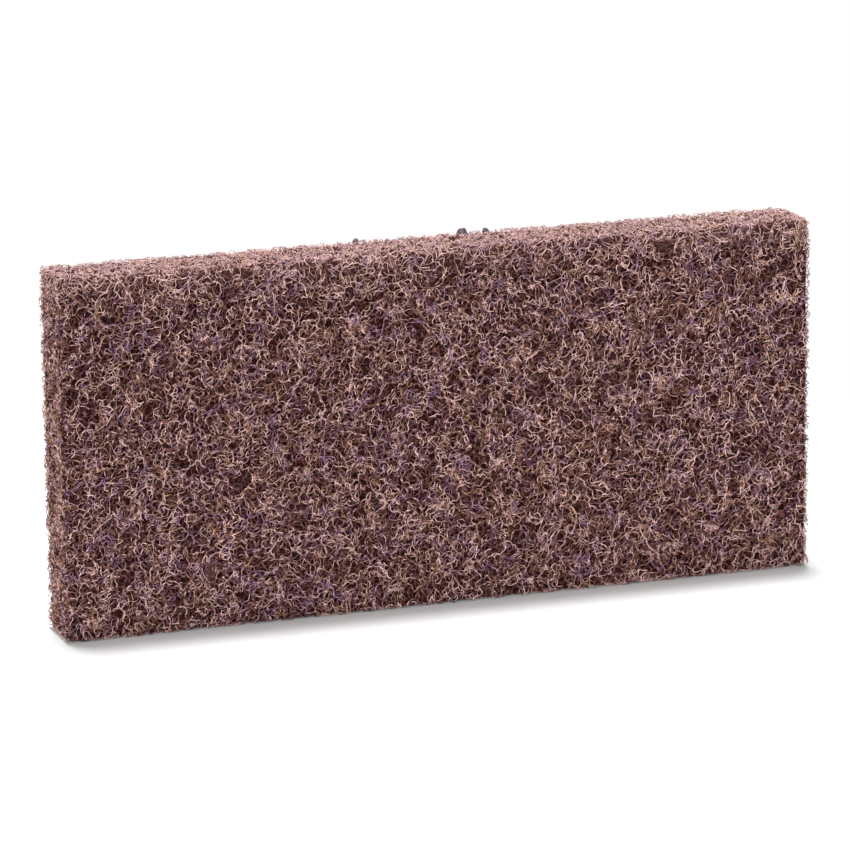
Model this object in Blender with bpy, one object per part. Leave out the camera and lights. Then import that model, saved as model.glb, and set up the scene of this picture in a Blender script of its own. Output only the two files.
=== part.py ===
"""A utility scrubbing pad: one slab of nonwoven scouring web, standing on its long cut edge.

Metres, +Z up. X runs along the pad, Y through its thickness and Z up its height. The origin
is under the middle of the pad, on the surface that it stands on.

The web is wiry fibres bonded where they cross, with open pits between them. The slab is cut
into irregular cells. The sides of a cell are ridges, as the bonded fibres are, and its middle
sinks to a pit. Some ridges are turned across, so that their two pits run into one, and the
ridges that are left wander over the faces as fibres do.
"""

import math
import random

import bmesh
import bpy
from mathutils import Vector, noise

# The cut pad
PAD_LENGTH = 0.254
PAD_HEIGHT = 0.1175
PAD_THICKNESS = 0.023

# The cut edges: how far the fibres fray back along each edge, and at the outline's corners
EDGE_FRAY = 0.0022
CORNER_RADIUS = 0.0045

# The cells of the web, counted between the frayed edges
CELLS_ALONG = 45
CELLS_UP = 21
CELLS_THROUGH = 5

# The pits: the deepest, as a length and as a share of its cell's width and of its distance to
# the nearest other face, and how uneven they are in depth and in place
PIT_DEPTH = 0.0060
PIT_DEPTH_PER_CELL_WIDTH = 1.15
PIT_DEPTH_PER_EDGE_DISTANCE = 0.5
SHALLOWEST_PIT = 0.45
PIT_WANDER = 0.16

# How the ridges run: the wander of each crossing as a share of a cell, and the slow swirl of
# the whole web, which dies away towards the cut edges
CROSSING_WANDER = 0.34
EDGE_WANDER = 0.2
SWIRL = 0.0045
SWIRL_WAVELENGTH = 0.026
SWIRL_START = 0.012
OPEN_RIDGE_SHARE = 0.42
LEAST_RIDGES_AT_A_CROSSING = 2

# The lie of the faces: how far they dip from the cutting planes, over what distance, and the
# share of the full dip that they have on average
FACE_DIP = 0.0009
DIP_WAVELENGTH = 0.016
MEAN_DIP = 0.5

# Spots where the fibres are matted flat in the cutting plane
MATTED_SHARE = 0.025

WEB_SEED = 5368
PLANE_TOLERANCE = 1e-6

WEB_COLOUR = (0.155, 0.078, 0.073, 1.0)
WEB_ROUGHNESS = 0.62


def clear_scene():
    """Removes every object that is in the file."""
    for existing in list(bpy.data.objects):
        bpy.data.objects.remove(existing, do_unlink=True)


def web_material():
    """Brown nylon fibre in a dull resin."""
    material = bpy.data.materials.new("brown_scouring_web")
    material.use_nodes = True
    shader = material.node_tree.nodes["Principled BSDF"]
    shader.inputs["Base Color"].default_value = WEB_COLOUR
    shader.inputs["Roughness"].default_value = WEB_ROUGHNESS
    shader.inputs["Metallic"].default_value = 0.0
    material.diffuse_color = WEB_COLOUR
    return material


def slab():
    """The pad as a plain block with frayed edges, still centred on the origin."""
    bpy.ops.mesh.primitive_cube_add(size=1.0)
    pad = bpy.context.object
    web = bmesh.new()
    web.from_mesh(pad.data)
    bmesh.ops.scale(web, vec=(PAD_LENGTH, PAD_THICKNESS, PAD_HEIGHT), verts=web.verts)
    bmesh.ops.bevel(
        web, geom=list(web.edges), offset=EDGE_FRAY, offset_type="OFFSET",
        segments=1, profile=0.5, affect="EDGES", clamp_overlap=True,
    )
    return pad, web


def cell_widths():
    """The width of a cell along each axis, between the frayed edges."""
    return [
        (size - 2 * EDGE_FRAY) / count
        for size, count in (
            (PAD_LENGTH, CELLS_ALONG),
            (PAD_THICKNESS, CELLS_THROUGH),
            (PAD_HEIGHT, CELLS_UP),
        )
    ]


def cut_into_cells(web):
    """Cuts every face of the slab into cells, along all three axes."""
    counts = (CELLS_ALONG, CELLS_THROUGH, CELLS_UP)
    for axis, (width, count) in enumerate(zip(cell_widths(), counts)):
        normal = Vector((0.0, 0.0, 0.0))
        normal[axis] = 1.0
        for step in range(1, count):
            place = normal * (step - count / 2) * width
            everything = web.verts[:] + web.edges[:] + web.faces[:]
            bmesh.ops.bisect_plane(
                web, geom=everything, dist=PLANE_TOLERANCE, plane_co=place, plane_no=normal
            )


def half_sizes():
    """Half the pad's size along each axis."""
    return Vector((PAD_LENGTH, PAD_THICKNESS, PAD_HEIGHT)) / 2


def planes_of(point):
    """The axes whose cutting plane the point lies on."""
    half = half_sizes()
    return [axis for axis in range(3) if half[axis] - abs(point[axis]) < PLANE_TOLERANCE]


def mount_spots():
    """A point on each face that something presses on or that the pad stands on."""
    half = half_sizes()
    return [
        Vector((0.0, -half.y, 0.0)),
        Vector((0.0, half.y, 0.0)),
        Vector((0.0, 0.0, -half.z)),
    ]


def matted_cells(web, chance):
    """The cells that stay flat: the one at each mount spot and a few strewn over the faces."""
    flat = [face for face in web.faces if planes_of(face.calc_center_median())]
    chosen = {face for face in flat if chance.random() < MATTED_SHARE}
    for spot in mount_spots():
        chosen.add(min(flat, key=lambda face: (face.calc_center_median() - spot).length))
    return chosen


def wander(point, axis, chance):
    """How far a crossing shifts along an axis: not at all off its plane, a little at an edge."""
    edge_distance = half_sizes()[axis] - abs(point[axis])
    if edge_distance < PLANE_TOLERANCE:
        return 0.0
    if edge_distance < EDGE_FRAY + PLANE_TOLERANCE:
        return chance.uniform(-1.0, 1.0) * EDGE_WANDER * EDGE_FRAY
    swirl = noise.noise_vector(point / SWIRL_WAVELENGTH)[axis] * SWIRL
    return (
        swirl * min(1.0, edge_distance / SWIRL_START)
        + chance.uniform(-1.0, 1.0) * CROSSING_WANDER * cell_widths()[axis]
    )


def rounded_at_corner(point):
    """The point after the outline's square corner is drawn in to a round one."""
    half = half_sizes()
    centre = Vector((half.x - CORNER_RADIUS, half.z - CORNER_RADIUS))
    across = Vector((abs(point.x), abs(point.z))) - centre
    if across.x <= 0.0 or across.y <= 0.0:
        return point
    drawn_in = across * (max(across) / across.length)
    return Vector((
        math.copysign(centre.x + drawn_in.x, point.x),
        point.y,
        math.copysign(centre.y + drawn_in.y, point.z),
    ))


def dip_at(point):
    """How far a face dips at a point, from 0 to FACE_DIP."""
    wave = noise.noise(point / DIP_WAVELENGTH)
    return FACE_DIP * min(1.0, max(0.0, MEAN_DIP + wave))


def shape_the_faces(web, matted, chance):
    """Moves the crossings: they wander along the faces, and dip where nothing holds them."""
    held = {vertex for face in matted for vertex in face.verts}
    half = half_sizes()
    for vertex in web.verts:
        point = vertex.co.copy()
        planes = planes_of(point)
        for axis in range(3):
            point[axis] += wander(vertex.co, axis, chance)
        for axis in planes:
            standing = axis == 2 and vertex.co.z < 0.0
            if vertex not in held and not standing:
                point[axis] -= math.copysign(dip_at(vertex.co), vertex.co[axis])
        vertex.co = rounded_at_corner(point)
    bmesh.ops.translate(web, vec=(0.0, 0.0, half.z), verts=web.verts)


def way_to_next_face(face):
    """How far a cell's middle is from the nearest face of the slab that it doesn't lie on."""
    half = half_sizes()
    middle = face.calc_center_median() - Vector((0.0, 0.0, half.z))
    facing = max(range(3), key=lambda axis: abs(face.normal[axis]))
    return min(half[axis] - abs(middle[axis]) for axis in range(3) if axis != facing)


def sink_the_pits(web, matted, chance):
    """Pokes every cell that isn't matted, and lets its middle sink to a pit."""
    for face in [face for face in web.faces if face not in matted]:
        inward = -face.normal
        width = math.sqrt(face.calc_area())
        aside = face.calc_tangent_edge() * chance.uniform(-1.0, 1.0) * PIT_WANDER * width
        deepest = min(
            PIT_DEPTH,
            PIT_DEPTH_PER_CELL_WIDTH * width,
            PIT_DEPTH_PER_EDGE_DISTANCE * way_to_next_face(face),
        )
        poked = bmesh.ops.poke(web, faces=[face], center_mode="MEAN")
        for middle in poked["verts"]:
            middle.co += aside + inward * deepest * chance.uniform(SHALLOWEST_PIT, 1.0)


def run_pits_together(web, ridges, chance):
    """Turns some ridges across, so that two pits join, and leaves ridges at every crossing."""
    left = {vertex: 0 for ridge in ridges for vertex in ridge.verts}
    for ridge in ridges:
        for vertex in ridge.verts:
            left[vertex] += 1
    turned = []
    for ridge in chance.sample(ridges, len(ridges)):
        between_pits = all(len(face.verts) == 3 for face in ridge.link_faces)
        spare = all(left[vertex] > LEAST_RIDGES_AT_A_CROSSING for vertex in ridge.verts)
        if between_pits and spare and chance.random() < OPEN_RIDGE_SHARE:
            turned.append(ridge)
            for vertex in ridge.verts:
                left[vertex] -= 1
    bmesh.ops.rotate_edges(web, edges=turned, use_ccw=False)


def scrubbing_pad():
    """Builds the pad as one object, standing on its long cut edge."""
    chance = random.Random(WEB_SEED)
    pad, web = slab()
    cut_into_cells(web)
    matted = matted_cells(web, chance)
    shape_the_faces(web, matted, chance)
    web.normal_update()
    ridges = list(web.edges)
    sink_the_pits(web, matted, chance)
    run_pits_together(web, ridges, chance)
    web.to_mesh(pad.data)
    web.free()
    pad.name = pad.data.name = "scrubbing_pad"
    pad.data.materials.append(web_material())
    return pad


def main():
    """Puts the pad in a collection of its own."""
    clear_scene()
    collection = bpy.data.collections.new("utility_scrubbing_pad")
    bpy.context.scene.collection.children.link(collection)
    pad = scrubbing_pad()
    for holder in list(pad.users_collection):
        holder.objects.unlink(pad)
    collection.objects.link(pad)


main()
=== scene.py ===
"""The looks of a utility scrubbing pad: a slab of brown nonwoven web, standing on its long edge.

The pad is modelled as the real one is made. A core, coloured near black as painted shade deep in
the web, closes the view through the web, and over it lie thousands of crimped nylon fibres, in
layers along each of the six faces. Geometry Nodes let each fibre wander near the plane that the
pad was cut to, and turn it into a thin closed tube with beads of resin on it. Three clumps stand
up from the back of the top edge. The fibres are painted darker the deeper they lie, as painted
shade, and the web is painted paler near the top edge, as painted light.

Metres, +Z up. X runs along the pad, Y through its thickness and Z up its height.
"""

import logging
import math
from dataclasses import dataclass, field
from enum import Enum, IntEnum

import bpy
from mathutils import Matrix, Vector


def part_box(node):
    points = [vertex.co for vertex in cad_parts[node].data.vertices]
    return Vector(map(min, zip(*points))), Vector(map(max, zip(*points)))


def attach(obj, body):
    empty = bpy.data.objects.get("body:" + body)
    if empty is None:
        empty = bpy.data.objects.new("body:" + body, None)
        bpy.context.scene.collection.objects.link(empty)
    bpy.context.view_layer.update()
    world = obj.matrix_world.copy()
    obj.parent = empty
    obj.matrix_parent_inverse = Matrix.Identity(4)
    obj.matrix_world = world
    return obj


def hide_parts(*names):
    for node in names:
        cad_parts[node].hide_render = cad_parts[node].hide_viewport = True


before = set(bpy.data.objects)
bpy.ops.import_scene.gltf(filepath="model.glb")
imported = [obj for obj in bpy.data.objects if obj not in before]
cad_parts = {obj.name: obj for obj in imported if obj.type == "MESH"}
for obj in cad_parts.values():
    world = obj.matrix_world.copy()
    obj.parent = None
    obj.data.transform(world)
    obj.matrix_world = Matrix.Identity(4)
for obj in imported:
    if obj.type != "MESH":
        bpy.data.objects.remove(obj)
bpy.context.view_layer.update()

LOG = logging.getLogger("scrubbing_pad")
MM = 0.001
PAD_NODE = "scrubbing_pad"

# The two strides that spread points over a square most evenly, kin of the golden ratio
EVEN_STRIDES = (0.7548776662, 0.5698402910)

# The length of the one-dimensional noise that each fibre takes its own stretch of
NOISE_SPAN = 1000.0

Colour = tuple[float, float, float]
Socket = bpy.types.NodeSocket


class Side(Enum):
    """A face of the pad, by the directions along it, up it and out of it."""

    FRONT = ((1, 0, 0), (0, 0, 1), (0, -1, 0))
    BACK = ((-1, 0, 0), (0, 0, 1), (0, 1, 0))
    TOP = ((1, 0, 0), (0, 1, 0), (0, 0, 1))
    UNDERSIDE = ((-1, 0, 0), (0, 1, 0), (0, 0, -1))
    LEFT_END = ((0, 0, 1), (0, 1, 0), (-1, 0, 0))
    RIGHT_END = ((0, 0, 1), (0, -1, 0), (1, 0, 0))

    @property
    def along(self) -> Vector:
        """The direction along the face."""
        return Vector(self.value[0])

    @property
    def up(self) -> Vector:
        """The direction up the face, or across it."""
        return Vector(self.value[1])

    @property
    def out(self) -> Vector:
        """The direction out of the face."""
        return Vector(self.value[2])


class Draw(IntEnum):
    """The random draws of a layer of fibres, each with a seed of its own."""

    CURL = 1
    KINK = 2
    WAY = 3
    DEPTH = 4
    TINT = 5
    CAST = 6
    SWING = 9
    STOUTNESS = 10
    LUMPS = 11
    BEAD = 12
    BEAD_TINT = 13
    BEAD_SIZE = 14


def reach(size: Vector, direction: Vector) -> float:
    """How far a box of this size reaches along one of its axes.

    Args:
        size: The box's size.
        direction: The axis, as a unit vector.

    Returns:
        The length of the box along the axis.
    """
    return abs(size.dot(direction))


class NodeSheet:
    """Short hand for adding nodes to one tree and joining them."""

    def __init__(self, tree: bpy.types.NodeTree) -> None:
        """Args:
        tree: The tree that the nodes go in.
        """
        self.tree = tree

    def add(self, kind: str, *fed: object, **settings: object) -> bpy.types.Node:
        """Adds a node.

        Args:
            kind: The node's type name.
            fed: What goes into its inputs, in order; None leaves an input as it is.
            settings: Its properties.

        Returns:
            The node.
        """
        node = self.tree.nodes.new(kind)
        for name, value in settings.items():
            setattr(node, name, value)
        usable = [socket for socket in node.inputs if socket.enabled]
        for socket, value in zip(usable, fed):
            self.feed(socket, value)
        return node

    def feed(self, socket: Socket, value: object) -> None:
        """Joins a socket to an input, or sets the input to a plain value.

        Args:
            socket: The input.
            value: A socket to join, a value, or None to leave it.
        """
        if isinstance(value, bpy.types.NodeSocket):
            self.tree.links.new(value, socket)
        elif value is not None:
            socket.default_value = value

    def maths(self, operation: str, *fed: object) -> Socket:
        """A Math node's result.

        Args:
            operation: The node's operation.
            fed: Its inputs.

        Returns:
            The output.
        """
        return self.add("ShaderNodeMath", *fed, operation=operation).outputs[0]

    def vector(self, operation: str, *fed: object) -> Socket:
        """A Vector Math node's result.

        Args:
            operation: The node's operation.
            fed: Its inputs.

        Returns:
            The output that the operation fills.
        """
        node = self.add("ShaderNodeVectorMath", *fed, operation=operation)
        return next(socket for socket in node.outputs if socket.enabled)

    def scaled(self, vector: Socket, factor: object) -> Socket:
        """A vector times a number.

        Args:
            vector: The vector.
            factor: The number, or the socket that holds it.

        Returns:
            The scaled vector.
        """
        node = self.add("ShaderNodeVectorMath", vector, operation="SCALE")
        self.feed(node.inputs["Scale"], factor)
        return node.outputs[0]

    def noise(self, place: Socket, across: object, detail: float = 0.0) -> Socket:
        """Three-dimensional noise about 0.5.

        Args:
            place: The coordinates.
            across: The size of one wave of the noise.
            detail: How much finer noise is laid over it.

        Returns:
            The noise's value.
        """
        node = self.add("ShaderNodeTexNoise", noise_dimensions="3D")
        self.feed(node.inputs["Vector"], place)
        self.feed(node.inputs["Scale"], self.over_one(across))
        node.inputs["Detail"].default_value = detail
        return node.outputs[0]

    def over_one(self, length: object) -> object:
        """One over a length, as a value or a socket."""
        if isinstance(length, bpy.types.NodeSocket):
            return self.maths("DIVIDE", 1.0, length)
        return 1.0 / length

    def mixed(self, share: object, first: object, second: object) -> Socket:
        """Two colours mixed by a share from 0 to 1.

        Args:
            share: The second colour's share.
            first: The first colour, or the socket that holds it.
            second: The second one.

        Returns:
            The mixed colour.
        """
        node = self.add("ShaderNodeMix", data_type="RGBA", clamp_factor=True)
        usable = [socket for socket in node.inputs if socket.enabled]
        for socket, value in zip(usable, (share, first, second)):
            self.feed(socket, value)
        return next(socket for socket in node.outputs if socket.enabled)


class WebSheet(NodeSheet):
    """Short hand for a Geometry Nodes tree that a modifier runs, with named inputs."""

    KINDS = {bool: "NodeSocketBool", int: "NodeSocketInt", float: "NodeSocketFloat",
             Vector: "NodeSocketVector", bpy.types.Material: "NodeSocketMaterial"}

    def __init__(self, name: str, inputs: dict[str, object]) -> None:
        """Args:
        name: The tree's name.
        inputs: The tree's inputs by name, with their values.
        """
        super().__init__(bpy.data.node_groups.new(name, "GeometryNodeTree"))
        self.tree.is_modifier = True
        self.values = inputs
        self.tree.interface.new_socket(
            "Geometry", in_out="OUTPUT", socket_type="NodeSocketGeometry"
        )
        self.named = {
            key: self.tree.interface.new_socket(
                key, in_out="INPUT", socket_type=self.KINDS[type(value)]
            )
            for key, value in inputs.items()
        }
        self.entry = self.tree.nodes.new("NodeGroupInput")

    def __getitem__(self, name: str) -> Socket:
        """The socket of a named input."""
        return self.entry.outputs[name]

    def whole(self, operation: str, *fed: object) -> Socket:
        """An Integer Math node's result."""
        return self.add("FunctionNodeIntegerMath", *fed, operation=operation).outputs[0]

    def random(self, low: object, high: object, part: object, seed: object) -> Socket:
        """A random number that is the same for everything with the same part number.

        Args:
            low: The least value.
            high: The greatest value.
            part: What the number belongs to.
            seed: The seed.

        Returns:
            The number.
        """
        node = self.add("FunctionNodeRandomValue", data_type="FLOAT")
        usable = [socket for socket in node.inputs if socket.enabled]
        for socket, value in zip(usable, (low, high, part, seed)):
            self.feed(socket, value)
        return next(socket for socket in node.outputs if socket.enabled)

    def noise_along(self, place: Socket) -> Socket:
        """One-dimensional noise about 0.5 at a place along a line."""
        node = self.add("ShaderNodeTexNoise", noise_dimensions="1D")
        self.feed(node.inputs["W"], place)
        node.inputs["Scale"].default_value = 1.0
        node.inputs["Detail"].default_value = 0.0
        return node.outputs[0]

    def summed(self, value: Socket, group: Socket, data_type: str) -> Socket:
        """The running sum of a value within each group.

        Args:
            value: What is summed.
            group: The group's number.
            data_type: FLOAT or FLOAT_VECTOR.

        Returns:
            The sum before each item.
        """
        node = self.add("GeometryNodeAccumulateField", data_type=data_type, domain="POINT")
        usable = [socket for socket in node.inputs if socket.enabled]
        self.feed(usable[0], value)
        self.feed(usable[1], group)
        return [socket for socket in node.outputs if socket.enabled][1]

    def stored(self, geometry: Socket, name: str, value: Socket) -> Socket:
        """The geometry with a number stored on its points under a name."""
        node = self.add(
            "GeometryNodeStoreNamedAttribute", data_type="FLOAT", domain="POINT"
        )
        self.feed(node.inputs["Geometry"], geometry)
        self.feed(node.inputs["Name"], name)
        self.feed(node.inputs["Value"], value)
        return node.outputs[0]

    def placed(self, geometry: Socket, position: Socket) -> Socket:
        """The geometry with its points set at a position."""
        node = self.add("GeometryNodeSetPosition")
        self.feed(node.inputs["Geometry"], geometry)
        self.feed(node.inputs["Position"], position)
        return node.outputs[0]

    def mesh(self, name: str, geometry: Socket, finish: Socket) -> bpy.types.Object:
        """Ends the tree, runs it once and keeps its result as a plain mesh.

        Args:
            name: The name of the new object.
            geometry: The geometry that the tree has made.
            finish: The input that holds its material.

        Returns:
            A mesh object at the origin, with no modifier on it.
        """
        whole = self.add("GeometryNodeRealizeInstances", geometry)
        dressed = self.add("GeometryNodeSetMaterial")
        self.feed(dressed.inputs["Geometry"], whole.outputs[0])
        self.feed(dressed.inputs["Material"], finish)
        self.tree.links.new(dressed.outputs[0], self.tree.nodes.new("NodeGroupOutput").inputs[0])
        carrier = bpy.data.objects.new(name + ".carrier", bpy.data.meshes.new(name + ".empty"))
        bpy.context.scene.collection.objects.link(carrier)
        modifier = carrier.modifiers.new("web", "NODES")
        modifier.node_group = self.tree
        for key, socket in self.named.items():
            modifier[socket.identifier] = self.values[key]
        graph = bpy.context.evaluated_depsgraph_get()
        made = bpy.data.meshes.new_from_object(
            carrier.evaluated_get(graph), preserve_all_data_layers=True, depsgraph=graph
        )
        made.name = name
        bpy.data.objects.remove(carrier)
        piece = bpy.data.objects.new(name, made)
        bpy.context.scene.collection.objects.link(piece)
        return piece


@dataclass(frozen=True)
class Lie:
    """How the faces of the web rise and dip, alike for the core and the fibres over it."""

    dip: float = 0.38 * MM
    spacing: float = 8.0 * MM

    def depth(self, sheet: NodeSheet, place: Socket) -> Socket:
        """How deep the web lies at a place, from nothing to the full dip.

        Args:
            sheet: The tree that it is worked out in.
            place: The place on the face.

        Returns:
            The depth.
        """
        low, high = 0.42, 0.68
        noise = sheet.noise(place, self.spacing, detail=1.0)
        node = sheet.add("ShaderNodeMapRange", noise, low, high, 0.0, self.dip)
        node.interpolation_type = "SMOOTHSTEP"
        return node.outputs[0]


@dataclass(frozen=True)
class TopLight:
    """Painted light: the light that reaches the web through its open top edge, painted in as a
    paler colour there.
    """

    top: float
    reach: float = 11.0 * MM
    strength: float = 0.58
    fall: float = 1.6

    def share(self, sheet: NodeSheet, place: Socket) -> Socket:
        """How much painted light pales the web at a place.

        Args:
            sheet: The material's tree.
            place: The place on the pad.

        Returns:
            The strength at the top edge, and nothing well below it.
        """
        above = sheet.add("ShaderNodeSeparateXYZ", place).outputs["Z"]
        lit = sheet.add("ShaderNodeMapRange", above, self.top - self.reach, self.top, 0.0, 1.0)
        return sheet.maths(
            "MULTIPLY", sheet.maths("POWER", lit.outputs[0], self.fall), self.strength
        )


@dataclass(frozen=True)
class FibreFinish:
    """Brown nylon fibre in a dull resin, with a shade of its own for each fibre. Deep fibres are
    mixed towards near black as painted shade, and all are paled near the top edge as painted
    light.
    """

    top_light: TopLight
    name: str = "resin_bonded_fibre"
    shade: Colour = (0.175, 0.057, 0.050)
    light: Colour = (0.92, 0.605, 0.565)
    violet: Colour = (0.24, 0.110, 0.270)
    ochre: Colour = (0.40, 0.200, 0.080)
    # painted shade: the near-black colour that deep fibres are mixed towards
    hollow_shade: Colour = (0.022, 0.003, 0.003)
    violet_share: float = 0.65
    violet_band: tuple[float, float] = (0.70, 1.0)
    ochre_share: float = 0.55
    ochre_band: tuple[float, float] = (0.28, -0.02)
    # how far the painted light near the top edge pales the fibres
    lit_share: float = 0.6
    patch_size: float = 4.0 * MM
    roughness: float = 0.42
    specular: float = 0.3
    grain_size: float = 1.2 * MM
    grain_height: float = 0.08 * MM
    grain_shade: float = 2.0

    def material(self) -> bpy.types.Material:
        """Builds the material.

        Returns:
            The material.
        """
        material = bpy.data.materials.new(self.name)
        material.use_nodes = True
        sheet = NodeSheet(material.node_tree)
        shader = material.node_tree.nodes["Principled BSDF"]
        place = sheet.add("ShaderNodeTexCoord").outputs["Object"]
        tint = self.attribute(sheet, "tint")
        patch = sheet.noise(place, self.patch_size, detail=1.0)
        cast = sheet.maths("ADD", self.attribute(sheet, "cast"),
                           self.about_nothing(sheet, patch, 1.0))
        # the stored depth is each point's share of painted shade
        depth = self.attribute(sheet, "depth")
        grain = sheet.noise(place, self.grain_size, detail=1.0)
        shade = sheet.maths("ADD", tint, self.about_nothing(sheet, grain, self.grain_shade))
        colour = sheet.mixed(shade, (*self.shade, 1), (*self.light, 1))
        violet = self.band(sheet, cast, self.violet_band, self.violet_share)
        colour = sheet.mixed(violet, colour, (*self.violet, 1))
        ochre = self.band(sheet, cast, self.ochre_band, self.ochre_share)
        colour = sheet.mixed(ochre, colour, (*self.ochre, 1))
        # painted light pales the fibres near the top edge, and painted shade darkens the deep ones
        # below it
        lit = self.top_light.share(sheet, place)
        paled = sheet.maths("MULTIPLY", lit, self.lit_share)
        colour = sheet.mixed(paled, colour, (*self.light, 1))
        hollow_shade = sheet.maths("MULTIPLY", depth, sheet.maths("SUBTRACT", 1.0, lit))
        colour = sheet.mixed(hollow_shade, colour, (*self.hollow_shade, 1))
        sheet.feed(shader.inputs["Base Color"], colour)
        shader.inputs["Roughness"].default_value = self.roughness
        shader.inputs["Specular IOR Level"].default_value = self.specular
        bump = sheet.add("ShaderNodeBump")
        bump.inputs["Distance"].default_value = self.grain_height
        sheet.feed(bump.inputs["Height"], grain)
        sheet.feed(shader.inputs["Normal"], bump.outputs[0])
        return material

    def attribute(self, sheet: NodeSheet, name: str) -> Socket:
        """A number that is stored on the fibres."""
        return sheet.add("ShaderNodeAttribute", attribute_name=name).outputs["Fac"]

    def about_nothing(self, sheet: NodeSheet, noise: Socket, swing: float) -> Socket:
        """A noise about 0.5 turned to one about 0, which swings this far each way."""
        return sheet.maths("MULTIPLY_ADD", noise, 2 * swing, -swing)

    def band(
        self, sheet: NodeSheet, value: Socket, ends: tuple[float, float], share: float
    ) -> Socket:
        """How much of a colour there is where a value lies between two ends.

        Args:
            sheet: The material's tree.
            value: The value.
            ends: Where there is none of the colour, and where there is most.
            share: The most that there is of it.

        Returns:
            The colour's share.
        """
        inside = sheet.add("ShaderNodeMapRange", value, *ends, 0.0, 1.0).outputs[0]
        return sheet.maths("MULTIPLY", inside, share)


@dataclass(frozen=True)
class CoreFinish:
    """The deep web: nets of strands over near-black pits, which show as colour and relief only.
    The pits' near black and the deeper nets' darker strands are painted shade, and painted light
    pales the web near the top edge.

    The deepest net comes first, and each one crosses over the last. Their meshes are the cells
    of a Voronoi pattern, and a noise bends the strands.
    """

    top_light: TopLight
    name: str = "deep_web"
    # painted shade: the pits are near black and the deeper nets darker, for the shade deep in the
    # web
    pit: Colour = (0.008, 0.0009, 0.0009)
    strands: tuple[Colour, ...] = (
        (0.024, 0.004, 0.004), (0.062, 0.017, 0.015), (0.21, 0.090, 0.081),
    )
    meshes: tuple[float, ...] = (1.8 * MM, 2.1 * MM, 2.4 * MM)
    strand_width: float = 0.23 * MM
    bend: float = 1.5 * MM
    bend_size: float = 1.6 * MM
    net_shift: tuple[float, float, float] = (0.31, 0.17, 0.23)
    relief: float = 0.4 * MM
    roughness: float = 0.7
    specular: float = 0.08
    # how far the painted light near the top edge pales the deep web
    lit_share: float = 0.45

    def material(self) -> bpy.types.Material:
        """Builds the material.

        Returns:
            The material.
        """
        material = bpy.data.materials.new(self.name)
        material.use_nodes = True
        sheet = NodeSheet(material.node_tree)
        shader = material.node_tree.nodes["Principled BSDF"]
        place = sheet.add("ShaderNodeTexCoord").outputs["Object"]
        bends = sheet.add("ShaderNodeTexNoise", noise_dimensions="3D")
        sheet.feed(bends.inputs["Vector"], place)
        bends.inputs["Scale"].default_value = 1.0 / self.bend_size
        bends.inputs["Detail"].default_value = 1.0
        shift = sheet.vector("SUBTRACT", bends.outputs["Color"], (0.5, 0.5, 0.5))
        bent = sheet.vector("ADD", place, sheet.scaled(shift, self.bend))
        colour, height = (*self.pit, 1), 0.0
        for layer, (strand, mesh) in enumerate(zip(self.strands, self.meshes)):
            over = self.net(sheet, bent, mesh, layer)
            colour = sheet.mixed(over, colour, (*strand, 1))
            level = (layer + 1) / len(self.strands)
            height = sheet.maths("MAXIMUM", height, sheet.maths("MULTIPLY", over, level))
        # painted light near the top edge pales the deep web towards its top net's colour
        lit = sheet.maths("MULTIPLY", self.top_light.share(sheet, place), self.lit_share)
        colour = sheet.mixed(lit, colour, (*self.strands[-1], 1))
        sheet.feed(shader.inputs["Base Color"], colour)
        shader.inputs["Roughness"].default_value = self.roughness
        shader.inputs["Specular IOR Level"].default_value = self.specular
        bump = sheet.add("ShaderNodeBump")
        bump.inputs["Distance"].default_value = self.relief
        sheet.feed(bump.inputs["Height"], height)
        sheet.feed(shader.inputs["Normal"], bump.outputs[0])
        return material

    def net(self, sheet: NodeSheet, place: Socket, mesh: float, layer: int) -> Socket:
        """One net of strands.

        Args:
            sheet: The material's tree.
            place: The coordinates.
            mesh: The size of the net's meshes.
            layer: The net's number.

        Returns:
            1 on a strand and 0 off it.
        """
        moved = sheet.vector("ADD", place, Vector(self.net_shift) * layer)
        cells = sheet.add("ShaderNodeTexVoronoi", feature="DISTANCE_TO_EDGE")
        sheet.feed(cells.inputs["Vector"], moved)
        cells.inputs["Scale"].default_value = 1.0 / mesh
        node = sheet.add(
            "ShaderNodeMapRange", cells.outputs["Distance"], self.strand_width / mesh, 0.0,
            0.0, 1.0,
        )
        node.interpolation_type = "SMOOTHSTEP"
        return node.outputs[0]


@dataclass(frozen=True)
class PaperFinish:
    """A white floor that fades to plain white away from the pad."""

    name: str = "white_paper"
    colour: Colour = (0.9, 0.9, 0.9)
    fade_start: float = 0.20
    fade_end: float = 0.34

    def material(self) -> bpy.types.Material:
        """Builds the material.

        Returns:
            The material.
        """
        material = bpy.data.materials.new(self.name)
        material.use_nodes = True
        tree = material.node_tree
        tree.nodes.clear()
        sheet = NodeSheet(tree)
        paper = sheet.add("ShaderNodeBsdfDiffuse", (*self.colour, 1))
        white = sheet.add("ShaderNodeEmission", (1, 1, 1, 1), 1.0)
        place = sheet.add("ShaderNodeTexCoord").outputs["Object"]
        away = sheet.add(
            "ShaderNodeMapRange", sheet.vector("LENGTH", place), self.fade_start, self.fade_end,
            0.0, 1.0,
        )
        away.interpolation_type = "SMOOTHSTEP"
        shown = sheet.add(
            "ShaderNodeMixShader", away.outputs[0], paper.outputs[0], white.outputs[0]
        )
        rays = sheet.add("ShaderNodeLightPath").outputs
        seen = sheet.maths(
            "MAXIMUM",
            rays["Is Camera Ray"],
            sheet.maths("MAXIMUM", rays["Is Glossy Ray"], rays["Is Transmission Ray"]),
        )
        either = sheet.add("ShaderNodeMixShader", seen, paper.outputs[0], shown.outputs[0])
        sheet.add("ShaderNodeOutputMaterial", either.outputs[0])
        return material


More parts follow.
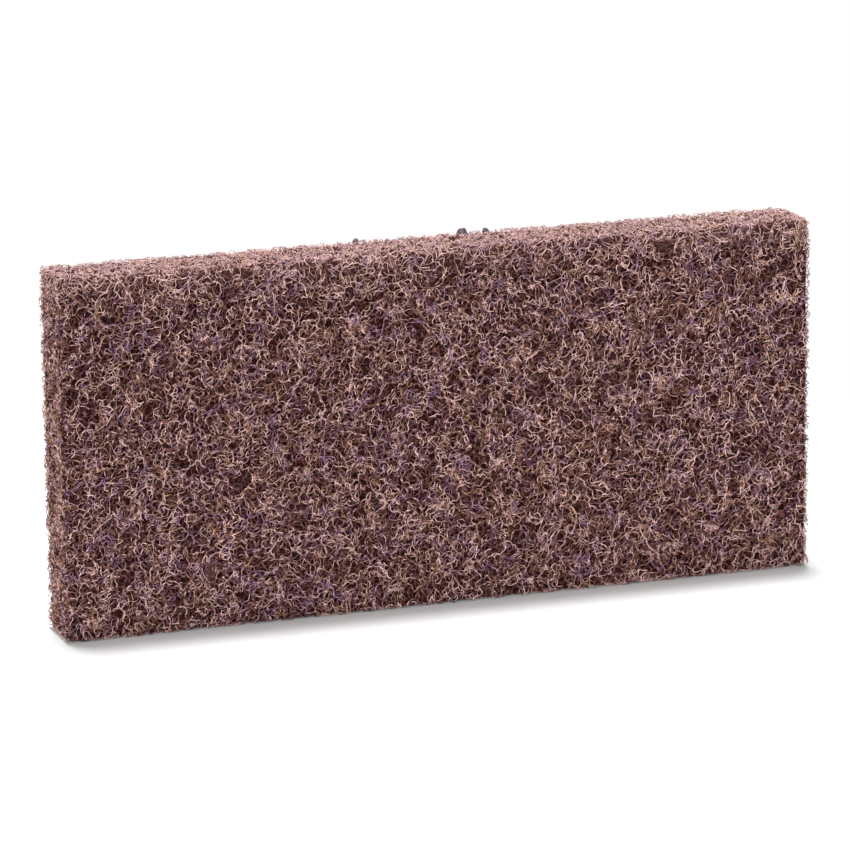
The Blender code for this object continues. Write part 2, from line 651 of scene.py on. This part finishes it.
@dataclass(frozen=True)
class WebCore:
    """The closed body behind the fibres: a slab with rounded edges, pitted all over."""

    size: Vector
    lie: Lie
    inset: float = 0.35 * MM
    edge_radius: float = 1.8 * MM
    mesh_size: float = 1.45 * MM
    pit: float = 1.6 * MM
    pit_spacing: float = 3.0 * MM
    edge_share: float = 0.35

    def build(self, finish: bpy.types.Material) -> bpy.types.Object:
        """Builds the core.

        Args:
            finish: Its material.

        Returns:
            The core, as one closed mesh.
        """
        inputs = {
            "Size": self.size,
            "Inset": self.inset,
            "Edge Radius": self.edge_radius,
            "Pit": self.pit,
            "Pit Spacing": self.pit_spacing,
            "Edge Share": self.edge_share,
            "Finish": finish,
        }
        inputs |= {f"Count {axis}": round(length / self.mesh_size) for axis, length in
                   zip("XYZ", self.size)}
        sheet = WebSheet("web_core", inputs)
        block = sheet.add(
            "GeometryNodeMeshCube", sheet["Size"], sheet["Count X"], sheet["Count Y"],
            sheet["Count Z"],
        )
        place = sheet.add("GeometryNodeInputPosition").outputs[0]
        flat = sheet.vector(
            "SUBTRACT",
            sheet.scaled(sheet["Size"], 0.5),
            sheet.add("ShaderNodeCombineXYZ", *[sheet["Edge Radius"]] * 3).outputs[0],
        )
        middle = sheet.vector(
            "MAXIMUM", sheet.vector("MINIMUM", place, flat), sheet.scaled(flat, -1.0)
        )
        out = sheet.vector("NORMALIZE", sheet.vector("SUBTRACT", place, middle))
        standing = sheet.vector("ADD", place, (0.0, 0.0, self.size.z / 2))
        pits = sheet.maths(
            "MULTIPLY", sheet.noise(standing, sheet["Pit Spacing"], detail=1.0), sheet["Pit"]
        )
        facing = sheet.maths("ABSOLUTE", sheet.add("ShaderNodeSeparateXYZ", out).outputs["Y"])
        share = sheet.add("ShaderNodeMapRange", facing, 0.0, 1.0, sheet["Edge Share"], 1.0)
        sunk = sheet.maths("ADD", pits, self.lie.depth(sheet, standing))
        depth = sheet.maths("MULTIPLY_ADD", sunk, share.outputs[0], sheet["Inset"])
        rest = sheet.maths("SUBTRACT", sheet["Edge Radius"], depth)
        shaped = sheet.vector("ADD", middle, sheet.scaled(out, rest))
        lifted = sheet.vector("ADD", shaped, (0.0, 0.0, self.size.z / 2))
        return sheet.mesh("web_core", sheet.placed(block.outputs[0], lifted), sheet["Finish"])


@dataclass(frozen=True)
class FibreLayer:
    """One layer of fibres along one face of the pad.

    A fibre starts anywhere on the face and goes step by step, turning as it goes. It keeps its
    own depth under the face, more or less, and ends where it crosses the outline.

    The cover is metres of fibre per square metre of the face. Depths count inwards from the
    plane that the face was cut to, so a fibre with a depth below nothing stands out of it.
    """

    name: str
    side: Side
    size: Vector
    lie: Lie
    seed: int
    cover: float
    shallowest: float
    deepest: float
    palest: float = 1.0
    darkest: float = 0.0
    cast: float = 0.0
    # painted shade: how much deep fibres are darkened, and the depths over which it comes in
    shading: float = 1.0
    shade_start: float = 0.3 * MM
    shade_end: float = 1.3 * MM
    step: float = 1.0 * MM
    steps: int = 20
    thickness: float = 0.29 * MM
    curl: float = 6.0
    curl_spacing: float = 2.4 * MM
    kink: float = 1.0
    wave: float = 0.7 * MM
    wave_spacing: float = 4.0 * MM
    stout_spread: float = 0.25
    lumps: float = 0.35
    lump_spacing: float = 1.7 * MM
    corner_radius: float = 4.0 * MM
    cut_back: float = 0.32 * MM
    edge_round: float = 0.8 * MM
    beads: float = 0.012
    bead_size: float = 0.22 * MM
    bead_spread: float = 0.4
    bead_tints: tuple[float, float] = (0.5, 1.6)

    @property
    def half_along(self) -> float:
        """Half the length over which the layer's fibres reach."""
        return reach(self.size, self.side.along) / 2 - self.cut_back

    @property
    def half_up(self) -> float:
        """Half the height over which the layer's fibres reach."""
        return reach(self.size, self.side.up) / 2 - self.cut_back

    @property
    def length(self) -> float:
        """The length of a fibre that nothing cuts."""
        return self.step * self.steps

    @property
    def margin(self) -> float:
        """How far past the outline a fibre may start, and still reach the face."""
        return self.length / 4

    @property
    def fibres(self) -> int:
        """How many fibres give the face its cover."""
        area = 4 * (self.half_along + self.margin) * (self.half_up + self.margin)
        return round(self.cover * area / self.length)

    def build(self, finish: bpy.types.Material) -> bpy.types.Object:
        """Builds the layer.

        Args:
            finish: The fibres' material.

        Returns:
            All its fibres, as one mesh of closed tubes.
        """
        face = self.side.out * reach(self.size, self.side.out) / 2
        sheet = WebSheet(self.name, {
            "Fibres": self.fibres,
            "Points Per Fibre": self.steps + 1,
            "Step": self.step,
            "Curl": self.curl * 2 / self.curl_spacing,
            "Curl Spacing": self.curl_spacing,
            "Kink": self.kink,
            "Half Along": self.half_along,
            "Half Up": self.half_up,
            "Margin": self.margin,
            "Corner Radius": self.corner_radius,
            "Shallowest": self.shallowest,
            "Deepest": self.deepest,
            "Wave": self.wave,
            "Wave Spacing": self.wave_spacing,
            "Thickness": self.thickness,
            "Lumps": self.lumps,
            "Lump Spacing": self.lump_spacing,
            "Edge Round": self.edge_round,
            "Beads": self.beads,
            "Bead Size": self.bead_size,
            "Palest": self.palest,
            "Darkest": self.darkest,
            "Cast": self.cast,
            "Shading": self.shading,
            "Shade Start": self.shade_start,
            "Shade End": self.shade_end,
            "Face Middle": face + Vector((0, 0, self.size.z / 2)),
            "Along": self.side.along,
            "Up": self.side.up,
            "Out": self.side.out,
            "Seed": self.seed,
            "Finish": finish,
        })
        index = sheet.add("GeometryNodeInputIndex").outputs[0]
        fibre = sheet.whole("DIVIDE_FLOOR", index, sheet["Points Per Fibre"])
        gone = sheet.maths("MULTIPLY", sheet.whole("MODULO", index, sheet["Points Per Fibre"]),
                           sheet["Step"])
        along, up = self.walk(sheet, index, fibre, gone)
        depth = self.depth(sheet, fibre, gone, along, up)
        points = sheet.add(
            "GeometryNodePoints",
            sheet.whole("MULTIPLY", sheet["Fibres"], sheet["Points Per Fibre"]),
        ).outputs[0]
        points = sheet.placed(points, self.on_face(sheet, along, up, depth))
        tint = sheet.random(sheet["Darkest"], sheet["Palest"], fibre,
                            self.seeded(sheet, Draw.TINT))
        cast = sheet.random(0.0, 1.0, fibre, self.seeded(sheet, Draw.CAST))
        points = sheet.stored(points, "tint", tint)
        points = sheet.stored(points, "cast", sheet.maths("ADD", cast, sheet["Cast"]))
        # painted shade: the deeper a point lies under the web's dip, the more it is darkened,
        # stored as depth
        dip = self.lie.depth(sheet, self.on_face(sheet, along, up, 0.0))
        points = sheet.stored(
            points, "depth", self.shade_of(sheet, sheet.maths("SUBTRACT", depth, dip))
        )
        points = sheet.stored(points, "outside", self.outside(sheet, along, up))
        points = sheet.stored(points, "stout", self.stoutness(sheet, fibre, gone))
        both = sheet.add("GeometryNodeJoinGeometry")
        sheet.feed(both.inputs[0], self.resin(sheet, points, index))
        sheet.feed(both.inputs[0], self.tubes(sheet, points, fibre))
        return sheet.mesh(self.name, both.outputs[0], sheet["Finish"])

    def seeded(self, sheet: WebSheet, draw: Draw) -> Socket:
        """The seed of one of the layer's draws."""
        return sheet.whole("ADD", sheet["Seed"], draw.value)

    def start(self, sheet: WebSheet, fibre: Socket, half: Socket, stride: float) -> Socket:
        """A start anywhere over the face and a little past its outline.

        The starts of all the fibres lie evenly, with no bare spot and no crowd, since each is
        one stride on from the last and comes round again at the end of the face.

        Args:
            sheet: The tree.
            fibre: The fibre's number.
            half: Half the face's size this way.
            stride: The stride this way, as a share of the face.

        Returns:
            The start.
        """
        most = sheet.maths("ADD", half, sheet["Margin"])
        along = sheet.maths("FRACT", sheet.maths("MULTIPLY", fibre, stride))
        return sheet.maths("MULTIPLY", sheet.maths("MULTIPLY_ADD", along, 2.0, -1.0), most)

    def walk(
        self, sheet: WebSheet, index: Socket, fibre: Socket, gone: Socket
    ) -> tuple[Socket, Socket]:
        """Lets each fibre wander over the face, a step at a time.

        Args:
            sheet: The tree.
            index: The point's number.
            fibre: The number of its fibre.
            gone: How far along the fibre it is.

        Returns:
            How far along and up the face each point lies, from the face's middle.
        """
        own = sheet.random(0.0, NOISE_SPAN, fibre, self.seeded(sheet, Draw.CURL))
        wave = sheet.noise_along(
            sheet.maths("ADD", sheet.maths("DIVIDE", gone, sheet["Curl Spacing"]), own)
        )
        bend = sheet.maths(
            "MULTIPLY",
            sheet.maths("MULTIPLY", sheet.maths("SUBTRACT", wave, 0.5), sheet["Curl"]),
            sheet["Step"],
        )
        kink = sheet.random(
            sheet.maths("MULTIPLY", sheet["Kink"], -1.0), sheet["Kink"], index,
            self.seeded(sheet, Draw.KINK),
        )
        turn = sheet.summed(sheet.maths("ADD", bend, kink), fibre, "FLOAT")
        way = sheet.maths(
            "ADD", turn, sheet.random(-math.pi, math.pi, fibre, self.seeded(sheet, Draw.WAY))
        )
        stride = sheet.add(
            "ShaderNodeCombineXYZ",
            sheet.maths("MULTIPLY", sheet.maths("COSINE", way), sheet["Step"]),
            sheet.maths("MULTIPLY", sheet.maths("SINE", way), sheet["Step"]),
            0.0,
        ).outputs[0]
        moved = sheet.add(
            "ShaderNodeSeparateXYZ", sheet.summed(stride, fibre, "FLOAT_VECTOR")
        ).outputs
        return (
            sheet.maths("ADD", moved[0],
                        self.start(sheet, fibre, sheet["Half Along"], EVEN_STRIDES[0])),
            sheet.maths("ADD", moved[1],
                        self.start(sheet, fibre, sheet["Half Up"], EVEN_STRIDES[1])),
        )

    def on_face(self, sheet: WebSheet, along: Socket, up: Socket, depth: Socket) -> Socket:
        """The point at these distances from the middle of the face."""
        spot = sheet.vector("ADD", sheet["Face Middle"], sheet.scaled(sheet["Along"], along))
        spot = sheet.vector("ADD", spot, sheet.scaled(sheet["Up"], up))
        return sheet.vector("SUBTRACT", spot, sheet.scaled(sheet["Out"], depth))

    def depth(
        self, sheet: WebSheet, fibre: Socket, gone: Socket, along: Socket, up: Socket
    ) -> Socket:
        """How far under the face each point lies.

        Args:
            sheet: The tree.
            fibre: The fibre's number.
            gone: How far along the fibre the point is.
            along: Its place along the face.
            up: Its place up the face.

        Returns:
            The depth.
        """
        own = sheet.random(sheet["Shallowest"], sheet["Deepest"], fibre,
                           self.seeded(sheet, Draw.DEPTH))
        phase = sheet.random(0.0, NOISE_SPAN, fibre, self.seeded(sheet, Draw.SWING))
        swing = sheet.noise_along(
            sheet.maths("ADD", sheet.maths("DIVIDE", gone, sheet["Wave Spacing"]), phase)
        )
        swing = sheet.maths(
            "MULTIPLY", sheet.maths("SUBTRACT", swing, 0.5),
            sheet.maths("MULTIPLY", sheet["Wave"], 2.0),
        )
        dip = self.lie.depth(sheet, self.on_face(sheet, along, up, 0.0))
        deep = sheet.maths("ADD", dip, sheet.maths("ADD", own, swing))
        past = sheet.maths(
            "DIVIDE", self.past(sheet, along, up, sheet["Edge Round"]), sheet["Edge Round"]
        )
        past = sheet.maths("MINIMUM", past, 1.0)
        fall = sheet.maths(
            "SUBTRACT", 1.0,
            sheet.maths("SQRT", sheet.maths("SUBTRACT", 1.0, sheet.maths("POWER", past, 2.0))),
        )
        deep = sheet.maths("MULTIPLY_ADD", fall, sheet["Edge Round"], deep)
        return sheet.maths("MAXIMUM", deep, sheet["Shallowest"])

    def shade_of(self, sheet: WebSheet, depth: Socket) -> Socket:
        """How far painted shade darkens a point for its depth, from 0 at the face to 1 deep in the
        web.
        """
        return sheet.add(
            "ShaderNodeMapRange", depth, sheet["Shade Start"], sheet["Shade End"], 0.0,
            sheet["Shading"],
        ).outputs[0]

    def stoutness(self, sheet: WebSheet, fibre: Socket, gone: Socket) -> Socket:
        """The fibre's radius at a point, with the lumps that the resin makes."""
        own = sheet.random(
            1 - self.stout_spread, 1 + self.stout_spread, fibre, self.seeded(sheet, Draw.STOUTNESS)
        )
        phase = sheet.random(0.0, NOISE_SPAN, fibre, self.seeded(sheet, Draw.LUMPS))
        lump = sheet.noise_along(
            sheet.maths("ADD", sheet.maths("DIVIDE", gone, sheet["Lump Spacing"]), phase)
        )
        lump = sheet.maths(
            "MULTIPLY_ADD", sheet.maths("SUBTRACT", lump, 0.5),
            sheet.maths("MULTIPLY", sheet["Lumps"], 2.0), 1.0,
        )
        radius = sheet.maths("MULTIPLY", sheet["Thickness"], 0.5)
        return sheet.maths("MULTIPLY", radius, sheet.maths("MULTIPLY", own, lump))

    def outside(self, sheet: WebSheet, along: Socket, up: Socket) -> Socket:
        """Whether a point lies past the face's outline, whose corners are round."""
        past = self.past(sheet, along, up, sheet["Corner Radius"])
        return sheet.maths("GREATER_THAN", past, sheet["Corner Radius"])

    def past(self, sheet: WebSheet, along: Socket, up: Socket, margin: Socket) -> Socket:
        """How far a point lies past the outline, drawn in by a margin on all sides.

        Args:
            sheet: The tree.
            along: The point's place along the face.
            up: Its place up the face.
            margin: The margin.

        Returns:
            The distance, round the corners too, and nothing within the outline.
        """
        past = []
        for place, half in ((along, sheet["Half Along"]), (up, sheet["Half Up"])):
            straight = sheet.maths("SUBTRACT", half, margin)
            over = sheet.maths("SUBTRACT", sheet.maths("ABSOLUTE", place), straight)
            past.append(sheet.maths("MAXIMUM", over, 0.0))
        return sheet.vector("LENGTH", sheet.add("ShaderNodeCombineXYZ", *past, 0.0).outputs[0])

    def resin(self, sheet: WebSheet, points: Socket, index: Socket) -> Socket:
        """Beads of pale resin and grit, on a few of the points along the fibres.

        Args:
            sheet: The tree.
            points: The points of all the fibres.
            index: The point's number.

        Returns:
            The beads, as instances of one ball.
        """
        lot = sheet.random(0.0, 1.0, index, self.seeded(sheet, Draw.BEAD))
        chosen = sheet.maths("LESS_THAN", lot, sheet["Beads"])
        inside = sheet.maths("SUBTRACT", 1.0, self.named(sheet, "outside"))
        pale = sheet.random(*self.bead_tints, index, self.seeded(sheet, Draw.BEAD_TINT))
        ball = sheet.add("GeometryNodeMeshIcoSphere")
        ball.inputs["Radius"].default_value = 1.0
        ball.inputs["Subdivisions"].default_value = 1
        smooth = sheet.add("GeometryNodeSetShadeSmooth")
        sheet.feed(smooth.inputs["Geometry"], ball.outputs[0])
        spread = sheet.random(1 - self.bead_spread, 1 + self.bead_spread, index,
                              self.seeded(sheet, Draw.BEAD_SIZE))
        size = sheet.maths("MULTIPLY", sheet["Bead Size"], spread)
        strewn = sheet.add("GeometryNodeInstanceOnPoints")
        sheet.feed(strewn.inputs["Points"], sheet.stored(points, "tint", pale))
        sheet.feed(strewn.inputs["Selection"], sheet.maths("MULTIPLY", chosen, inside))
        sheet.feed(strewn.inputs["Instance"], smooth.outputs[0])
        sheet.feed(strewn.inputs["Scale"], size)
        return strewn.outputs[0]

    def tubes(self, sheet: WebSheet, points: Socket, fibre: Socket) -> Socket:
        """Joins the points of each fibre, cuts it at the outline and gives it its thickness.

        Args:
            sheet: The tree.
            points: The points of all the fibres.
            fibre: The number of each point's fibre.

        Returns:
            The fibres as closed tubes.
        """
        lines = sheet.add("GeometryNodePointsToCurves", points, fibre).outputs[0]
        wire = sheet.add("GeometryNodeCurveToMesh", lines).outputs[0]
        cut = sheet.add("GeometryNodeDeleteGeometry", domain="POINT", mode="ALL")
        sheet.feed(cut.inputs["Geometry"], wire)
        sheet.feed(cut.inputs["Selection"], self.named(sheet, "outside"))
        kept = sheet.add("GeometryNodeMeshToCurve", cut.outputs[0]).outputs[0]
        profile = sheet.add("GeometryNodeCurvePrimitiveCircle", mode="RADIUS")
        profile.inputs["Resolution"].default_value = 3
        profile.inputs["Radius"].default_value = 1.0
        tube = sheet.add("GeometryNodeCurveToMesh")
        sheet.feed(tube.inputs["Curve"], kept)
        sheet.feed(tube.inputs["Profile Curve"], profile.outputs[0])
        sheet.feed(tube.inputs["Scale"], self.named(sheet, "stout"))
        sheet.feed(tube.inputs["Fill Caps"], True)
        smooth = sheet.add("GeometryNodeSetShadeSmooth")
        sheet.feed(smooth.inputs["Geometry"], tube.outputs[0])
        return smooth.outputs[0]

    def named(self, sheet: WebSheet, name: str) -> Socket:
        """A number that was stored on the points."""
        node = sheet.add("GeometryNodeInputNamedAttribute", data_type="FLOAT")
        sheet.feed(node.inputs["Name"], name)
        return next(socket for socket in node.outputs if socket.enabled)


@dataclass(frozen=True)
class Nubs:
    """Clumps of resin and matted fibre that stand up from the back of the top edge.

    Each seat is a clump's place along the pad and its radius.
    """

    size: Vector
    seats: tuple[tuple[float, float], ...] = (
        (-22.2 * MM, 1.0 * MM), (13.8 * MM, 1.8 * MM), (22.1 * MM, 1.1 * MM),
    )
    lift: float = -0.15
    roughness: float = 0.9
    grain: float = 1.1 * MM
    fineness: int = 4
    tint: float = -0.3
    cast: float = 1.2

    def build(self, finish: bpy.types.Material) -> bpy.types.Object:
        """Builds the clumps.

        Args:
            finish: Their material.

        Returns:
            All the clumps, as one mesh of closed lumps.
        """
        sheet = WebSheet("top_nubs", {
            "Roughness": self.roughness, "Grain": self.grain, "Tint": self.tint,
            "Cast": self.cast, "Finish": finish,
        })
        place = sheet.add("GeometryNodeInputPosition").outputs[0]
        together = sheet.add("GeometryNodeJoinGeometry")
        for along, radius in self.seats:
            ball = sheet.add("GeometryNodeMeshIcoSphere")
            ball.inputs["Radius"].default_value = radius
            ball.inputs["Subdivisions"].default_value = self.fineness
            seat = Vector((along, self.size.y / 2 - radius, self.size.z + self.lift * radius))
            lumps = sheet.noise(sheet.vector("ADD", place, seat), sheet["Grain"], detail=1.0)
            swell = sheet.maths("MULTIPLY_ADD", sheet.maths("SUBTRACT", lumps, 0.5),
                                sheet["Roughness"], 1.0)
            seated = sheet.vector("ADD", sheet.scaled(place, swell), seat)
            sheet.feed(together.inputs[0], sheet.placed(ball.outputs[0], seated))
        clumps = sheet.stored(together.outputs[0], "tint", sheet["Tint"])
        clumps = sheet.stored(clumps, "cast", sheet["Cast"])
        # the clumps get no painted shade, whose share is stored as depth
        return sheet.mesh("top_nubs", sheet.stored(clumps, "depth", 0.0), sheet["Finish"])


@dataclass
class ScrubbingPad:
    """The dressed pad: the core, the layers of fibres over each face and the nubs."""

    low: Vector
    high: Vector
    lie: Lie = field(default_factory=Lie)
    face_cover: float = 1040.0
    fine_cover: float = 800.0
    back_cover: float = 1170.0
    edge_cover: float = 2400.0
    underside_cover: float = 1000.0

    @property
    def size(self) -> Vector:
        """The pad's size, as the CAD solid has it."""
        return self.high - self.low

    def layers(self) -> list[FibreLayer]:
        """The layers of fibres, from the front round to the right end.

        Returns:
            The layers.
        """
        common = {"size": self.size, "lie": self.lie}
        front = {"side": Side.FRONT, "steps": 14, **common}
        edge = {"size": self.size, "lie": Lie(0.8 * MM, 2.8 * MM), "deepest": 0.8 * MM,
                "step": 0.9 * MM, "steps": 10, "thickness": 0.32 * MM, "wave": 1.4 * MM,
                "wave_spacing": 1.6 * MM, "corner_radius": 0.8 * MM}
        end = {"cover": self.edge_cover, "shallowest": -0.35 * MM, "cast": -0.15,
               "palest": 0.6, "shading": 0.7, **edge}
        # Painted shade and light in the tints: the lower front layer has darker tints and the
        # shallower ones paler, as painted shade deep in the web; the top edge has a paler darkest
        # tint and less painted shade, as painted light from above; the ends have less painted
        # shade; the back has a paler darkest tint as painted light that lifts its shade
        return [
            FibreLayer("front_web_fine", seed=150, cover=self.fine_cover, shallowest=0.12 * MM,
                       deepest=0.5 * MM, darkest=0.25, palest=0.95, thickness=0.25 * MM, **front),
            FibreLayer("front_web_upper", seed=100, cover=self.face_cover, shallowest=0.15 * MM,
                       deepest=0.7 * MM, darkest=0.1, palest=0.85, **front),
            FibreLayer("front_web_lower", seed=200, cover=self.face_cover, shallowest=0.5 * MM,
                       deepest=1.3 * MM, darkest=-0.35, palest=0.1, **front),
            FibreLayer("back_web", Side.BACK, seed=300, cover=self.back_cover,
                       shallowest=0.25 * MM, deepest=0.85 * MM, darkest=0.15,
                       step=1.3 * MM, steps=16, thickness=0.38 * MM, **common),
            FibreLayer("top_edge_web", Side.TOP, seed=400, cover=self.edge_cover,
                       shallowest=-0.3 * MM, darkest=0.15, palest=0.65, shading=0.6, **edge),
            FibreLayer("underside_web", Side.UNDERSIDE, seed=500, cover=self.underside_cover,
                       shallowest=0.3 * MM, beads=0.0, **edge),
            FibreLayer("left_end_web", Side.LEFT_END, seed=600, **end),
            FibreLayer("right_end_web", Side.RIGHT_END, seed=700, **end),
        ]

    def build(self) -> None:
        """Builds the core, the fibres and the nubs, and hands each to the frame."""
        top_light = TopLight(self.high.z)
        core = WebCore(self.size, self.lie).build(CoreFinish(top_light).material())
        self.hand_over(core)
        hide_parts(PAD_NODE)
        fibre = FibreFinish(top_light).material()
        for layer in self.layers():
            self.hand_over(layer.build(fibre))
        matted = FibreFinish(
            TopLight(self.high.z, strength=0.0), name="matted_resin",
            shade=(0.090, 0.060, 0.080), light=(0.26, 0.190, 0.225), violet=(0.12, 0.082, 0.128),
        )
        self.hand_over(Nubs(self.size).build(matted.material()))

    def hand_over(self, piece: bpy.types.Object) -> None:
        """Rides a piece on the pad's body and logs it."""
        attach(piece, "root")
        triangles = sum(len(face.vertices) - 2 for face in piece.data.polygons)
        LOG.info("%s: %d triangles", piece.name, triangles)


@dataclass(frozen=True)
class Lamp:
    """A far lamp that lights evenly, like a large soft box a long way off."""

    name: str
    strength: float
    azimuth: float
    elevation: float
    spread: float
    colour: Colour = (1.0, 1.0, 1.0)

    def build(self) -> None:
        """Adds the lamp."""
        light = bpy.data.lights.new(self.name, "SUN")
        light.energy = self.strength
        light.angle = math.radians(self.spread)
        light.color = self.colour
        lamp = bpy.data.objects.new(self.name, light)
        facing = towards(self.azimuth, self.elevation)
        lamp.rotation_euler = facing.to_track_quat("Z", "Y").to_euler()
        bpy.context.scene.collection.objects.link(lamp)


def towards(azimuth: float, elevation: float) -> Vector:
    """The direction from the pad to a viewer or a lamp.

    Args:
        azimuth: Degrees round the pad, 0 at the front and 90 at its right end.
        elevation: Degrees above the floor.

    Returns:
        The unit vector.
    """
    round_, above = math.radians(azimuth), math.radians(elevation)
    return Vector((
        math.sin(round_) * math.cos(above),
        -math.cos(round_) * math.cos(above),
        math.sin(above),
    ))


@dataclass(frozen=True)
class Studio:
    """The floor, the lamps and the camera."""

    floor_size: float = 12.0
    sky: float = 0.17
    sky_colour: Colour = (0.92, 0.97, 1.0)
    azimuth: float = -19.39
    elevation: float = 13.69
    roll: float = -0.60
    distance: float = 1.580
    target: tuple[float, float, float] = (-0.0030, 0.0, 0.0575)
    focal_length: float = 207.5
    film_width: float = 36.0
    lamps: tuple[Lamp, ...] = (
        Lamp("overhead_box", 3.2, 180.0, 83.2, 11.0),
        Lamp("front_box", 2.55, -30.0, 19.0, 25.0),
    )

    def build(self) -> None:
        """Adds the floor, the world, the lamps and the camera."""
        self.floor()
        self.world()
        for lamp in self.lamps:
            lamp.build()
        self.camera()
        bpy.context.scene.view_settings.view_transform = "Standard"

    def floor(self) -> None:
        """A white floor under the pad."""
        half = self.floor_size / 2
        mesh = bpy.data.meshes.new("floor")
        corners = [(-half, -half, 0), (half, -half, 0), (half, half, 0), (-half, half, 0)]
        mesh.from_pydata(corners, [], [(0, 1, 2, 3)])
        mesh.materials.append(PaperFinish().material())
        floor = bpy.data.objects.new("floor", mesh)
        bpy.context.scene.collection.objects.link(floor)

    def world(self) -> None:
        """White to the camera, and a plain pale sky to the pad."""
        world = bpy.data.worlds.new("studio")
        bpy.context.scene.world = world
        world.use_nodes = True
        sheet = NodeSheet(world.node_tree)
        rays = sheet.add("ShaderNodeLightPath").outputs
        strength = sheet.add(
            "ShaderNodeMapRange", rays["Is Camera Ray"], 0.0, 1.0, self.sky, 1.0
        ).outputs[0]
        colour = sheet.mixed(rays["Is Camera Ray"], (*self.sky_colour, 1), (1, 1, 1, 1))
        background = world.node_tree.nodes["Background"]
        sheet.feed(background.inputs["Color"], colour)
        sheet.feed(background.inputs["Strength"], strength)

    def camera(self) -> None:
        """Sets the camera where the photograph was taken from."""
        back = towards(self.azimuth, self.elevation)
        right = Vector((0, 0, 1)).cross(back).normalized()
        up = back.cross(right)
        turn = math.radians(self.roll)
        across = right * math.cos(turn) + up * math.sin(turn)
        above = up * math.cos(turn) - right * math.sin(turn)
        data = bpy.data.cameras.new("camera")
        data.sensor_width = self.film_width
        data.lens = self.focal_length
        camera = bpy.data.objects.new("camera", data)
        place = Matrix((across, above, back)).transposed().to_4x4()
        place.translation = Vector(self.target) + back * self.distance
        camera.matrix_world = place
        bpy.context.scene.collection.objects.link(camera)
        bpy.context.scene.camera = camera


def corners(box: tuple[Vector, Vector]) -> list[list[float]]:
    """A box as plain lists of numbers."""
    return [list(map(float, corner)) for corner in box]


def main() -> None:
    """Builds the studio and the pad."""
    logging.basicConfig(level=logging.INFO, format="%(name)s: %(message)s")
    Studio().build()
    ScrubbingPad(*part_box(PAD_NODE)).build()


if __name__ == "__main__":
    main()
